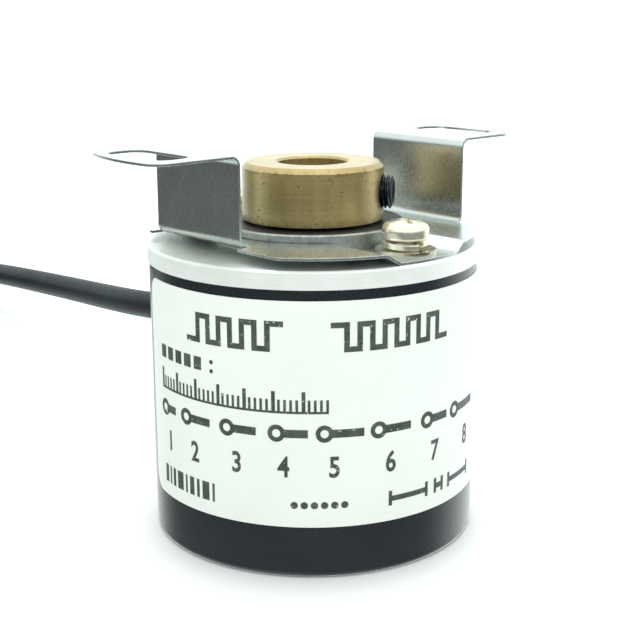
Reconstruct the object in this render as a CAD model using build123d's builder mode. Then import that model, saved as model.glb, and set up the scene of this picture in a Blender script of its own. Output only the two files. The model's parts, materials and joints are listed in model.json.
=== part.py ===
from build123d import *
import math
import os

# Incremental rotary encoder with a clamped hollow shaft, a two-eared stator
# spring and a moulded-on cable.  Millimetres.  Origin on the shaft axis at the
# level of the rear face; +Z runs up the shaft bore; X runs along the ears.

# ---- gaps used in several places -----------------------------------------
PRESS = 0.01
FIT = 0.02
RUNNING = 0.03
CLEAR = 0.05
LOOSE = 0.1
HOLE_OVER = 0.3

# ---- housing and flange -------------------------------------------------
FLANGE_R = 19.0
FLANGE_BOTTOM = 31.8
FLANGE_TOP = 33.75
FLANGE_CHAMFER = 0.35
FLANGE_CHAMFER_H = 0.22
SPIGOT_R = 17.5
SPIGOT_BOTTOM = 27.8
BEARING_TUBE_R = 11.0
BEARING_TUBE_BOTTOM = 20.9
BOSS_R = 10.7
BOSS_TOP = 35.9
BOSS_CHAMFER = 0.15
HOUSING_R = 18.83
HOUSING_INNER_R = 17.6
HOUSING_FLOOR = 1.6
HOUSING_EDGE = 0.6
O_RING_R = 17.08
O_RING_SECTION = 0.5
O_RING_Z = 30.9

# ---- label --------------------------------------------------------------
LABEL_BOTTOM = 5.9
LABEL_TOP = 30.65
LABEL_THICK = 0.1
LABEL_START = 155.3
LABEL_SWEEP = 200.0
LABEL_CORNER = 2.0
LABEL_OVER = 0.5

# ---- hollow shaft and its collar ---------------------------------------
BORE_R = 4.0
BORE_BOTTOM = 21.0
SHAFT_R = 5.0
SHAFT_BOTTOM = 19.2
COLLAR_R = 8.1
COLLAR_BOTTOM = 36.2
COLLAR_TOP = 42.6
COLLAR_CHAMFER = 0.55
HUB_SEAT_R = 3.0
HUB_SEAT_BOTTOM = 16.1
BORE_CHAMFER = 0.25
SEAL_R = 10.25
SEAL_BOTTOM = 35.05
SEAL_TOP = 35.85
SEAL_LIP_R = 0.6
SEAL_LIP_H = 0.4

# ---- set screws (M4 x 4, backed out) ------------------------------------
SET_SCREW_R = 1.95
SET_SCREW_LENGTH = 4.0
SET_SCREW_TIP = 9.3
SET_SCREW_Z = 39.25
SET_SCREW_ANGLES = {"set_screw_a": -52.7, "set_screw_b": 37.3}
THREAD_PITCH = 0.5
THREAD_DEPTH = 0.28
THREAD_FLANK = 0.4
TIP_PLAIN = 0.1
SET_SCREW_LEAD = 0.3
HEX_SOCKET = 2.0
HEX_DEPTH = 1.8
RING_GROOVE_R = 4.6
RING_GROOVE_BOTTOM = 21.0
RING_GROOVE_TOP = 21.85
RETAINING_RING_R = 6.4
RING_OPENING = (4.8, 3.0)

# ---- stator spring ------------------------------------------------------
SHEET = 0.3
SPRING_R = 18.6
SPRING_FLAT_X = 15.1
SPRING_HOLE_R = 10.95
SPRING_RAISED = 34.75
PAD_HALF = 4.3
JOGGLE_END = 5.9
JOGGLE_R = 0.7
PAD_HOLE_ROOM = 0.15
TAB_X = 14.5
TAB_SIDE_LONG = 10.0
TAB_SIDE_SHORT = 4.35
TAB_WIDTH = TAB_SIDE_LONG + TAB_SIDE_SHORT
TAB_MIDDLE = (TAB_SIDE_SHORT - TAB_SIDE_LONG) / 2
BEND_R = 0.95
RELIEF_LENGTH = 4.0
RELIEF_SIDE = 0.3
EAR_TOP = 44.75
EAR_R = 25.2
EAR_CORNER = 2.0
SLOT_X = 20.8
SLOT_WIDTH = 4.8
SLOT_FROM = -7.8
SLOT_TO = 2.3
SLOT_CORNER = 1.9

# ---- screws that hold the spring (M2.5) ---------------------------------
SCREW_PITCH_R = 14.6
SCREW_SHANK_R = 1.25
SCREW_HEAD_R = 2.55
SCREW_HEAD_H = 2.05
SCREW_EDGE_R = 1.0
SCREW_FOOT_R = 0.35
SCREW_DOME_H = 0.15
SCREW_LENGTH = 7.0
SCREW_LEAD = 0.3
CROSS_AT = 62.0
CROSS_DEPTH = 1.3
CROSS_LENGTH = 4.1
CROSS_WIDTH = 0.6
CROSS_TAPER = 0.75
CROSS_OVER = 0.2
FLAT_WASHER_R = 3.3
FLAT_WASHER_T = 0.5
LOCK_WASHER_R = 2.42
LOCK_WASHER_T = 1.05
LOCK_WASHER_GAP = 0.4
LOCK_WASHER_GAP_AT = -93.0
LOCK_WASHER_EDGE = 0.1

# ---- ball bearings (10 x 19 x 5) ----------------------------------------
BEARING_R = 9.5
BEARING_W = 5.0
INNER_RACE_R = 6.05
OUTER_RACE_R = 8.45
BALL_R = 1.25
BALL_PITCH_R = 7.25
BALL_COUNT = 11
BALL_CLEARANCE = 0.03
CAGE_HALF = 0.5
CAGE_FROM = 0.2
CAGE_TO = 1.7
SHIELD_T = 0.3
BEARINGS = {"upper": 29.95, "lower": 21.95}

# ---- code disc and optics -----------------------------------------------
DISC_R = 13.4
DISC_T = 0.5
DISC_BOTTOM = 15.6
HUB_R = 7.5
HUB_T = 1.2
HUB_SLEEVE_R = 4.6
CLAMP_RING_R = 6.0
CLAMP_RING_T = 0.6
BOARD_R = 17.2
BOARD_T = 1.2
BOARD_TOP = 11.2
OPTICS_AZ = 198.3
CABLE_AZ = 78.3
EMITTER_R = 11.0
LED_R = 1.5
LED_GAP = 0.6
LED_LENGTH = 2.8
LED_TIP_R = 0.4
LED_SINK = 2.0
HOLDER_GAP = 0.5
HOLDER_OVER_DISC = 1.5
HOLDER_INNER = 14.2
HOLDER_OUTER = 16.7
HOLDER_ARM_TIP = 9.0
HOLDER_HALF_WIDTH = 3.4
DISC_SCREW_R = 1.0
DISC_SCREW_LENGTH = 4.0
DISC_SCREW_HEAD_R = 1.9
DISC_SCREW_HEAD_H = 1.3
DISC_SCREW_EDGE_R = 0.3
DISC_SCREW_EDGE_H = 0.4
HEADER_TOP = 14.2
HEADER_REACH = 15.2
HEADER_DEPTH = 2.4
HEADER_WIDTH = 7.6
DISC_WINDOWS = 48
DISC_WINDOW = (1.6, 0.6)
DETECTOR_SIZE = (5.0, 6.0, 2.9)
MASK_SIZE = (4.2, 5.0, 0.9)
CHIP_SIZE = (4.0, 9.0, 1.45)
CHIP_DROP = 1.75
LEG_COUNT = 7
LEG_PITCH = 1.27
LEG_SPAN = 5.4
LEG_WIDTH = 0.45
LEG_THICK = 0.25
LEG_FOOT = 0.3
LEG_DROP = 1.0
CAPACITOR_SIZE = (1.2, 2.0, 1.2)
CAPACITOR_PITCH = (3.0, 3.2)
CAPACITORS_AT = 7.0

# ---- standoffs and cover screws (M2) ------------------------------------
STANDOFF_FLAT_R = 1.45
STANDOFF_PITCH_R = 15.2
STANDOFF_AZ = (18.3, 138.3, 258.3)
STUD_R = 1.0
STUD_LENGTH = 1.8
COVER_SCREW_R = 1.0
COVER_SCREW_HEAD_R = 1.9
COVER_SCREW_CONE = 1.1
COVER_SCREW_LENGTH = 5.0
COVER_SCREW_SINK = 0.03
COVER_CROSS_LENGTH = 2.2
COVER_CROSS_WIDTH = 0.5
COVER_CROSS_DEPTH = 0.7

# ---- cable --------------------------------------------------------------
CABLE_R = 2.0
CABLE_EXIT_Z = 18.2
CABLE_START_R = 16.4
GROMMET_NECK_R = 2.9
GROMMET_FLANGE_R = 3.7
GROMMET_TIP_R = 2.6
GROMMET_TIP_AT = 25.4
GROMMET_FLANGE_T = 1.4
GROMMET_INSIDE = 0.4
GROMMET_SUNK = 0.6
GROMMET_SHOULDER = 0.4
GROMMET_JOIN = 0.3
CRIMP_R = 2.7
WIRE_R = 0.34
WIRE_COUNT = 8
WIRES_PER_ROW = 4
WIRE_PITCH = 0.8
WIRE_BEND_R = 0.45
CABLE_ROUTE = (
    (CABLE_START_R, 0, CABLE_EXIT_Z),
    (33, 0, CABLE_EXIT_Z),
    (50, 0.6, 15.5),
    (84, -0.5, 11.3),
    (112, 0.2, 8.2),
    (128, 0, 6.0),
    (140, 0, 6.0),
)
COIL_AT = (160, 26)
COIL_TURNS_R = (18, 22, 26)
COIL_LAYERS = 2
COIL_STUB = 20
COIL_ROUND = 1.8
TIE_T = 0.8
TIE_GAP = 0.2
TIE_WIDTH = 3.0
TIE_CORNER_R = 1.5
TIE_INNER_R = 1.2
TIE_HEAD = (2.4, 3.4)
TIE_HEAD_OUT = 0.7
UNDER_SIZE = 1000
UNDER_DEPTH = 5
SLEEVE_LENGTH = 12
LEAD_R = 0.45
LEAD_LENGTH = 38
LEAD_SPREAD = 2.1
LEAD_SPREAD_END = 2.52
LEAD_PITCH = 0.94
LEAD_ROW = 1.0
LEAD_STRAIGHT = 3

os.makedirs("parts", exist_ok=True)


def save(part, name):
    """Label one node and write its STEP file."""
    part.label = name
    export_step(part, f"parts/{name}.step")


def tube(outer, inner, bottom, top):
    """A plain ring or, with no inner radius, a disc."""
    with BuildPart() as body:
        with BuildSketch(Plane.XY.offset(bottom)):
            Circle(outer)
            if inner:
                Circle(inner, mode=Mode.SUBTRACT)
        extrude(amount=top - bottom)
    return body.part


def turned(outline):
    """A body of revolution from (radius, height) points."""
    with BuildPart() as body:
        with BuildSketch(Plane.XZ):
            with BuildLine():
                Polyline(*outline, close=True)
            make_face()
        revolve(axis=Axis.Z)
    return body.part


def out_from_axis(angle, height):
    """A plane standing on the axis whose normal points outward at the angle."""
    a = math.radians(angle)
    outward = (math.cos(a), math.sin(a), 0)
    sideways = (-math.sin(a), math.cos(a), 0)
    return Plane(origin=(0, 0, height), x_dir=sideways, z_dir=outward)


def at(radius, angle, height):
    """A point from cylindrical coordinates."""
    a = math.radians(angle)
    return (radius * math.cos(a), radius * math.sin(a), height)


# ---- housing ------------------------------------------------------------
def make_housing():
    """Closed-bottomed cup with the cable hole and three countersunk holes."""
    with BuildPart() as body:
        with BuildSketch():
            Circle(HOUSING_R)
        extrude(amount=FLANGE_BOTTOM)
        fillet(body.edges().group_by(Axis.Z)[0], HOUSING_EDGE)
        with BuildSketch(Plane.XY.offset(HOUSING_FLOOR)):
            Circle(HOUSING_INNER_R)
        extrude(amount=FLANGE_BOTTOM, mode=Mode.SUBTRACT)
        with BuildSketch(out_from_axis(CABLE_AZ, CABLE_EXIT_Z)):
            Circle(GROMMET_NECK_R)
        extrude(amount=HOUSING_R + 1, mode=Mode.SUBTRACT)
        for angle in STANDOFF_AZ:
            spot = at(STANDOFF_PITCH_R, angle, 0)
            with BuildSketch(Plane(origin=spot)):
                Circle(COVER_SCREW_HEAD_R + CLEAR)
            with BuildSketch(Plane(origin=spot).offset(COVER_SCREW_CONE)):
                Circle(COVER_SCREW_R + CLEAR)
            loft(mode=Mode.SUBTRACT)
            with BuildSketch(Plane(origin=spot)):
                Circle(COVER_SCREW_R + CLEAR)
            extrude(amount=HOUSING_FLOOR, mode=Mode.SUBTRACT)
    return body.part


def make_label():
    """Thin printed wrap with rounded corners."""
    corner_turn = math.degrees(LABEL_CORNER / HOUSING_R)
    reach = LABEL_CORNER + LABEL_OVER
    with BuildPart() as body:
        with BuildSketch(Plane.XZ.rotated((0, 0, LABEL_START))):
            with Locations((HOUSING_R + LABEL_THICK / 2, (LABEL_BOTTOM + LABEL_TOP) / 2)):
                Rectangle(LABEL_THICK, LABEL_TOP - LABEL_BOTTOM)
        revolve(axis=Axis.Z, revolution_arc=LABEL_SWEEP)
        for edge, side in ((LABEL_START, 1), (LABEL_START + LABEL_SWEEP, -1)):
            for level, up in ((LABEL_BOTTOM, 1), (LABEL_TOP, -1)):
                centre = out_from_axis(edge + side * corner_turn, level + up * LABEL_CORNER)
                with BuildSketch(centre):
                    with Locations((-side * reach / 2, -up * reach / 2)):
                        Rectangle(reach, reach)
                    Circle(LABEL_CORNER, mode=Mode.SUBTRACT)
                extrude(amount=HOUSING_R + 2, mode=Mode.SUBTRACT)
    return body.part


def make_flange():
    """Turned front flange with boss, bearing seats, spigot and O-ring groove."""
    seat_top = SEAL_BOTTOM
    shoulder_top = BEARINGS["upper"] - CLEAR
    shoulder_bottom = BEARINGS["lower"] + BEARING_W + CLEAR
    seat_r = BEARING_R + PRESS
    groove_r = O_RING_R - O_RING_SECTION - CLEAR
    groove_half = O_RING_SECTION + LOOSE
    outline = (
        (seat_r, BEARING_TUBE_BOTTOM),
        (BEARING_TUBE_R, BEARING_TUBE_BOTTOM),
        (BEARING_TUBE_R, SPIGOT_BOTTOM),
        (SPIGOT_R, SPIGOT_BOTTOM),
        (SPIGOT_R, O_RING_Z - groove_half),
        (groove_r, O_RING_Z - groove_half),
        (groove_r, O_RING_Z + groove_half),
        (SPIGOT_R, O_RING_Z + groove_half),
        (SPIGOT_R, FLANGE_BOTTOM),
        (FLANGE_R, FLANGE_BOTTOM),
        (FLANGE_R, FLANGE_TOP - FLANGE_CHAMFER_H),
        (FLANGE_R - FLANGE_CHAMFER, FLANGE_TOP),
        (BOSS_R, FLANGE_TOP),
        (BOSS_R, BOSS_TOP - BOSS_CHAMFER),
        (BOSS_R - BOSS_CHAMFER, BOSS_TOP),
        (SEAL_R + FIT, BOSS_TOP),
        (SEAL_R + FIT, seat_top),
        (seat_r, seat_top),
        (seat_r, shoulder_top),
        (OUTER_RACE_R, shoulder_top),
        (OUTER_RACE_R, shoulder_bottom),
        (seat_r, shoulder_bottom),
    )
    with BuildPart() as body:
        with BuildSketch(Plane.XZ):
            with BuildLine():
                Polyline(*outline, close=True)
            make_face()
        revolve(axis=Axis.Z)
        with BuildSketch(Plane.XY.offset(FLANGE_TOP)):
            with Locations((0, SCREW_PITCH_R), (0, -SCREW_PITCH_R)):
                Circle(SCREW_SHANK_R + RUNNING)
        extrude(amount=SPIGOT_BOTTOM - FLANGE_TOP, mode=Mode.SUBTRACT)
        with BuildSketch(Plane.XY.offset(SPIGOT_BOTTOM)):
            with Locations(*[at(STANDOFF_PITCH_R, a, 0)[:2] for a in STANDOFF_AZ]):
                Circle(STUD_R + RUNNING)
        extrude(amount=STUD_LENGTH + HOLE_OVER, mode=Mode.SUBTRACT)
    return body.part


# ---- shaft group --------------------------------------------------------
def make_shaft():
    """Brass hollow shaft: chamfered collar, blind bore, seat for the disc hub."""
    bore_mouth = BORE_R + BORE_CHAMFER
    outline = (
        (0, HUB_SEAT_BOTTOM),
        (HUB_SEAT_R, HUB_SEAT_BOTTOM),
        (HUB_SEAT_R, SHAFT_BOTTOM),
        (SHAFT_R, SHAFT_BOTTOM),
        (SHAFT_R, RING_GROOVE_BOTTOM),
        (RING_GROOVE_R, RING_GROOVE_BOTTOM),
        (RING_GROOVE_R, RING_GROOVE_TOP),
        (SHAFT_R, RING_GROOVE_TOP),
        (SHAFT_R, COLLAR_BOTTOM),
        (COLLAR_R, COLLAR_BOTTOM),
        (COLLAR_R, COLLAR_TOP - COLLAR_CHAMFER),
        (COLLAR_R - COLLAR_CHAMFER, COLLAR_TOP),
        (bore_mouth, COLLAR_TOP),
        (BORE_R, COLLAR_TOP - BORE_CHAMFER),
        (BORE_R, BORE_BOTTOM),
        (0, BORE_BOTTOM),
    )
    with BuildPart() as body:
        with BuildSketch(Plane.XZ):
            with BuildLine():
                Polyline(*outline, close=True)
            make_face()
        revolve(axis=Axis.Z)
        for angle in SET_SCREW_ANGLES.values():
            with BuildSketch(out_from_axis(angle, SET_SCREW_Z)):
                Circle(SET_SCREW_R + RUNNING)
            extrude(amount=COLLAR_R + 1, mode=Mode.SUBTRACT)
        with BuildSketch(Plane.XY.offset(HUB_SEAT_BOTTOM)):
            Circle(DISC_SCREW_R + RUNNING)
        extrude(amount=DISC_SCREW_LENGTH, mode=Mode.SUBTRACT)
    return body.part


def make_set_screw(angle):
    """Threaded grub screw with a hexagon socket, lying along its radius."""
    inner = SET_SCREW_TIP - SET_SCREW_LENGTH
    crest = SET_SCREW_R
    root = SET_SCREW_R - THREAD_DEPTH
    outline = [(0, inner), (root - SET_SCREW_LEAD, inner)]
    height = inner + THREAD_DEPTH
    while height + THREAD_PITCH < SET_SCREW_TIP - TIP_PLAIN:
        outline += [
            (root, height),
            (crest, height + THREAD_PITCH * THREAD_FLANK),
            (crest, height + THREAD_PITCH * (1 - THREAD_FLANK)),
        ]
        height += THREAD_PITCH
    outline += [(root, height), (root, SET_SCREW_TIP), (0, SET_SCREW_TIP)]
    with BuildPart() as upright:
        with BuildSketch(Plane.XZ):
            with BuildLine():
                Polyline(*outline, close=True)
            make_face()
        revolve(axis=Axis.Z)
        with BuildSketch(Plane.XY.offset(SET_SCREW_TIP)):
            RegularPolygon(HEX_SOCKET / 2, 6, major_radius=False)
        extrude(amount=-HEX_DEPTH, mode=Mode.SUBTRACT)
    return out_from_axis(angle, SET_SCREW_Z).location * upright.part


# ---- stator spring ------------------------------------------------------
def make_spring():
    """One bent sheet: joggled ring, two off-centre tabs, two slotted ears."""
    pad = FLANGE_TOP + SHEET / 2
    raised = SPRING_RAISED + SHEET / 2
    ear = EAR_TOP - SHEET / 2
    upright = TAB_X - SHEET / 2
    flat_end = TAB_X - BEND_R - SHEET / 2
    corners = (
        (-EAR_R - 1, ear),
        (-upright, ear),
        (-upright, raised),
        (-JOGGLE_END, raised),
        (-PAD_HALF, pad),
        (PAD_HALF, pad),
        (JOGGLE_END, raised),
        (upright, raised),
        (upright, ear),
        (EAR_R + 1, ear),
    )
    radii = [BEND_R, BEND_R, JOGGLE_R, JOGGLE_R, JOGGLE_R, JOGGLE_R, BEND_R, BEND_R]
    with BuildPart() as body:
        with BuildSketch(Plane.XZ):
            with BuildLine():
                FilletPolyline(*corners, radius=radii)
            trace(line_width=SHEET)
        extrude(amount=SPRING_R + 1, both=True)
        with BuildSketch(Plane.XY.offset(FLANGE_TOP - 1)):
            Circle(SPRING_R)
            Rectangle(2 * flat_end, 2 * SPRING_R, mode=Mode.INTERSECT)
            for side in (1, -1):
                add(ear_outline(side))
            Circle(SPRING_HOLE_R, mode=Mode.SUBTRACT)
            with Locations((0, SCREW_PITCH_R), (0, -SCREW_PITCH_R)):
                Circle(SCREW_SHANK_R + PAD_HOLE_ROOM, mode=Mode.SUBTRACT)
        extrude(amount=EAR_TOP - FLANGE_TOP + 2, mode=Mode.INTERSECT)
        with BuildSketch(Plane.XY.offset(SPRING_RAISED)):
            Circle(SPRING_R)
            Rectangle(2 * SPRING_FLAT_X, 2 * SPRING_R, mode=Mode.INTERSECT)
            Rectangle(2 * flat_end, 2 * SPRING_R, mode=Mode.SUBTRACT)
            for side in (1, -1):
                with Locations((side * TAB_X, side * TAB_MIDDLE)):
                    Rectangle(RELIEF_LENGTH, TAB_WIDTH + 2 * RELIEF_SIDE, mode=Mode.SUBTRACT)
        extrude(amount=SHEET)
    return body.part


def ear_outline(side):
    """Plan shape of one tab and ear with its slot; side -1 is turned half round."""
    start = TAB_X - BEND_R - SHEET / 2
    turn = 0 if side > 0 else 180
    with BuildSketch(mode=Mode.PRIVATE) as plan:
        with Locations((start + EAR_R / 2, TAB_MIDDLE)):
            Rectangle(EAR_R, TAB_WIDTH)
        Circle(EAR_R, mode=Mode.INTERSECT)
        outer = plan.vertices().sort_by(Axis.X)[-2:]
        fillet(outer, EAR_CORNER)
        with Locations((SLOT_X, (SLOT_FROM + SLOT_TO) / 2)):
            RectangleRounded(SLOT_WIDTH, SLOT_TO - SLOT_FROM, SLOT_CORNER, mode=Mode.SUBTRACT)
    return Rot(0, 0, turn) * plan.sketch


def make_spring_screw(side):
    """Pan head with a cross recess, standing on its washers."""
    under_head = FLANGE_TOP + SHEET + FLAT_WASHER_T + LOCK_WASHER_T
    crown = under_head + SCREW_HEAD_H
    shoulder = crown - SCREW_DOME_H
    tip = under_head - SCREW_LENGTH
    edge_from = SCREW_HEAD_R - SCREW_EDGE_R
    slant = math.sqrt(0.5)
    with BuildPart() as upright:
        with BuildSketch(Plane.XZ):
            with BuildLine():
                Polyline(
                    (0, crown), (0, tip), (SCREW_SHANK_R - SCREW_LEAD, tip),
                    (SCREW_SHANK_R, tip + SCREW_LEAD), (SCREW_SHANK_R, under_head),
                    (SCREW_HEAD_R - SCREW_FOOT_R, under_head),
                )
                ThreePointArc(
                    (SCREW_HEAD_R - SCREW_FOOT_R, under_head),
                    (SCREW_HEAD_R - SCREW_FOOT_R * (1 - slant), under_head + SCREW_FOOT_R * (1 - slant)),
                    (SCREW_HEAD_R, under_head + SCREW_FOOT_R),
                )
                Line(
                    (SCREW_HEAD_R, under_head + SCREW_FOOT_R),
                    (SCREW_HEAD_R, shoulder - SCREW_EDGE_R),
                )
                ThreePointArc(
                    (SCREW_HEAD_R, shoulder - SCREW_EDGE_R),
                    (edge_from + SCREW_EDGE_R * slant, shoulder - SCREW_EDGE_R * (1 - slant)),
                    (edge_from, shoulder),
                )
                ThreePointArc(
                    (edge_from, shoulder),
                    (edge_from / 2, crown - SCREW_DOME_H / 4),
                    (0, crown),
                )
            make_face()
        revolve(axis=Axis.Z)
        for angle in (CROSS_AT, CROSS_AT + 90):
            with BuildSketch(Plane.XY.offset(crown + CROSS_OVER)):
                Rectangle(CROSS_LENGTH, CROSS_WIDTH, rotation=angle)
            with BuildSketch(Plane.XY.offset(crown - CROSS_DEPTH)):
                Rectangle(CROSS_LENGTH / 2, CROSS_WIDTH * CROSS_TAPER, rotation=angle)
            loft(mode=Mode.SUBTRACT)
    return Pos(0, side * SCREW_PITCH_R, 0) * upright.part


def make_lock_washer(side):
    """Split spring washer, pressed flat."""
    bottom = FLANGE_TOP + SHEET + FLAT_WASHER_T
    slit = out_from_axis(LOCK_WASHER_GAP_AT, bottom + LOCK_WASHER_T / 2)
    with BuildPart() as body:
        with BuildSketch(Plane.XY.offset(bottom)):
            Circle(LOCK_WASHER_R)
            Circle(SCREW_SHANK_R + LOOSE, mode=Mode.SUBTRACT)
        extrude(amount=LOCK_WASHER_T)
        chamfer(body.edges().filter_by(GeomType.CIRCLE).sort_by(SortBy.RADIUS)[-2:], LOCK_WASHER_EDGE)
        with BuildSketch(slit):
            Rectangle(LOCK_WASHER_GAP, LOCK_WASHER_T + 1)
        extrude(amount=LOCK_WASHER_R + 1, mode=Mode.SUBTRACT)
    turn = 180 if side > 0 else 0
    return Pos(0, side * SCREW_PITCH_R, 0) * Rot(0, 0, turn) * body.part


def make_flat_washer(side):
    """Plain washer on the spring's pad."""
    bottom = FLANGE_TOP + SHEET
    body = tube(FLAT_WASHER_R, SCREW_SHANK_R + LOOSE, bottom, bottom + FLAT_WASHER_T)
    return Pos(0, side * SCREW_PITCH_R, 0) * body


# ---- bearings -----------------------------------------------------------
def race(inner, outer, bottom):
    """One bearing ring with its ball groove."""
    with BuildPart() as body:
        with BuildSketch(Plane.XZ):
            with Locations(((inner + outer) / 2, bottom + BEARING_W / 2)):
                Rectangle(outer - inner, BEARING_W)
            with Locations((BALL_PITCH_R, bottom + BEARING_W / 2)):
                Circle(BALL_R + BALL_CLEARANCE, mode=Mode.SUBTRACT)
        revolve(axis=Axis.Z)
    return body.part


def make_inner_race(bottom):
    """Ring that turns with the shaft."""
    return race(SHAFT_R + PRESS, INNER_RACE_R, bottom)


def make_outer_race(bottom):
    """Ring held in the flange."""
    return race(OUTER_RACE_R, BEARING_R, bottom)


def make_balls(bottom):
    """The ring of balls."""
    with BuildPart() as body:
        with Locations((0, 0, bottom + BEARING_W / 2)):
            with PolarLocations(BALL_PITCH_R, BALL_COUNT):
                Sphere(BALL_R)
    return body.part


def make_cage(bottom):
    """Crown of pockets that spaces the balls."""
    middle = bottom + BEARING_W / 2
    with BuildPart() as body:
        with BuildSketch(Plane.XY.offset(middle + CAGE_FROM)):
            Circle(BALL_PITCH_R + CAGE_HALF)
            Circle(BALL_PITCH_R - CAGE_HALF, mode=Mode.SUBTRACT)
        extrude(amount=CAGE_TO - CAGE_FROM)
        with Locations((0, 0, middle)):
            with PolarLocations(BALL_PITCH_R, BALL_COUNT):
                Sphere(BALL_R + BALL_CLEARANCE, mode=Mode.SUBTRACT)
    return body.part


def make_shields(bottom):
    """The two thin covers pressed into the outer ring."""
    with BuildPart() as body:
        for level in (bottom, bottom + BEARING_W - SHIELD_T):
            with BuildSketch(Plane.XY.offset(level)):
                Circle(OUTER_RACE_R - PRESS)
                Circle(INNER_RACE_R + LOOSE, mode=Mode.SUBTRACT)
            extrude(amount=SHIELD_T)
    return body.part


def make_retaining_ring():
    """Open ring in the shaft groove under the lower bearing."""
    with BuildPart() as body:
        with BuildSketch(Plane.XY.offset(RING_GROOVE_BOTTOM + RUNNING)):
            Circle(RETAINING_RING_R)
            Circle(RING_GROOVE_R + FIT, mode=Mode.SUBTRACT)
            with Locations((RETAINING_RING_R, 0)):
                Rectangle(*RING_OPENING, mode=Mode.SUBTRACT)
        extrude(amount=RING_GROOVE_TOP - RING_GROOVE_BOTTOM - 2 * RUNNING)
    return body.part


# ---- code disc and optics ----------------------------------------------
def make_disc_hub():
    """Flanged sleeve on the end of the shaft that carries the code disc."""
    bottom = HUB_SEAT_BOTTOM
    outline = (
        (HUB_SEAT_R + FIT, bottom),
        (HUB_R, bottom),
        (HUB_R, bottom + HUB_T),
        (HUB_SLEEVE_R, bottom + HUB_T),
        (HUB_SLEEVE_R, SHAFT_BOTTOM - CLEAR),
        (HUB_SEAT_R + FIT, SHAFT_BOTTOM - CLEAR),
    )
    return turned(outline)


def make_code_disc():
    """Thin disc with a ring of windows near its rim."""
    with BuildPart() as body:
        with BuildSketch(Plane.XY.offset(DISC_BOTTOM)):
            Circle(DISC_R)
            Circle(DISC_SCREW_R + LOOSE, mode=Mode.SUBTRACT)
            with PolarLocations(EMITTER_R, DISC_WINDOWS):
                Rectangle(*DISC_WINDOW, mode=Mode.SUBTRACT)
        extrude(amount=DISC_T)
    return body.part


def make_disc_clamp():
    """Ring that presses the disc against the hub."""
    return tube(CLAMP_RING_R, DISC_SCREW_R + LOOSE, DISC_BOTTOM - CLAMP_RING_T, DISC_BOTTOM)


def make_disc_screw():
    """Pan-head screw up into the end of the shaft."""
    under_head = DISC_BOTTOM - CLAMP_RING_T
    tip = HUB_SEAT_BOTTOM + DISC_SCREW_LENGTH - HOLE_OVER
    outline = (
        (0, under_head - DISC_SCREW_HEAD_H),
        (DISC_SCREW_HEAD_R - DISC_SCREW_EDGE_R, under_head - DISC_SCREW_HEAD_H),
        (DISC_SCREW_HEAD_R, under_head - DISC_SCREW_HEAD_H + DISC_SCREW_EDGE_H),
        (DISC_SCREW_HEAD_R, under_head),
        (DISC_SCREW_R, under_head),
        (DISC_SCREW_R, tip),
        (0, tip),
    )
    return turned(outline)


def on_board(angle, radius, size, bottom):
    """A block whose first side lies along the radius."""
    with BuildPart() as body:
        with BuildSketch(Plane.XY.offset(bottom)):
            with Locations((radius, 0)):
                Rectangle(size[0], size[1])
        extrude(amount=size[2])
    return Rot(0, 0, angle) * body.part


def make_board():
    """Round circuit board with the standoff holes."""
    with BuildPart() as body:
        with BuildSketch(Plane.XY.offset(BOARD_TOP - BOARD_T)):
            Circle(BOARD_R)
            with Locations(*[at(STANDOFF_PITCH_R, a, 0)[:2] for a in STANDOFF_AZ]):
                Circle(STUD_R + LOOSE, mode=Mode.SUBTRACT)
        extrude(amount=BOARD_T)
    return body.part


def make_emitter_holder():
    """Bracket that stands on the board and reaches over the rim of the disc."""
    top = BEARING_TUBE_BOTTOM - HOLDER_GAP
    arm_bottom = DISC_BOTTOM + DISC_T + HOLDER_OVER_DISC
    with BuildPart() as body:
        with BuildSketch(Plane.XZ):
            with BuildLine():
                Polyline(
                    (HOLDER_INNER, BOARD_TOP), (HOLDER_OUTER, BOARD_TOP), (HOLDER_OUTER, top),
                    (HOLDER_ARM_TIP, top), (HOLDER_ARM_TIP, arm_bottom), (HOLDER_INNER, arm_bottom),
                    close=True,
                )
            make_face()
        extrude(amount=HOLDER_HALF_WIDTH, both=True)
        with BuildSketch(Plane.XY.offset(arm_bottom)):
            with Locations((EMITTER_R, 0)):
                Circle(LED_R + FIT)
        extrude(amount=LED_SINK, mode=Mode.SUBTRACT)
    return Rot(0, 0, OPTICS_AZ) * body.part


def make_emitter():
    """Lamp in the bracket, shining down through the disc."""
    with BuildPart() as body:
        with BuildSketch(Plane.XY.offset(DISC_BOTTOM + DISC_T + LED_GAP)):
            with Locations((EMITTER_R, 0)):
                Circle(LED_R)
        extrude(amount=LED_LENGTH)
        fillet(body.edges().filter_by(GeomType.CIRCLE).group_by(Axis.Z)[0], LED_TIP_R)
    return Rot(0, 0, OPTICS_AZ) * body.part


def make_driver_chip():
    """Output chip with its legs, under the board."""
    under = BOARD_TOP - BOARD_T
    with BuildPart() as body:
        with BuildSketch(Plane.XY.offset(under - CHIP_DROP)):
            Rectangle(CHIP_SIZE[0], CHIP_SIZE[1])
        extrude(amount=CHIP_SIZE[2])
        with BuildSketch(Plane.XY.offset(under - LEG_DROP)):
            with GridLocations(LEG_SPAN, LEG_PITCH, 1, LEG_COUNT):
                Rectangle(LEG_SPAN, LEG_WIDTH)
        extrude(amount=LEG_THICK)
        with BuildSketch(Plane.XY.offset(under - LEG_DROP)):
            with GridLocations(LEG_SPAN - LEG_FOOT, LEG_PITCH, 2, LEG_COUNT):
                Rectangle(LEG_FOOT, LEG_WIDTH)
        extrude(amount=LEG_DROP - PRESS)
    return body.part


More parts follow.
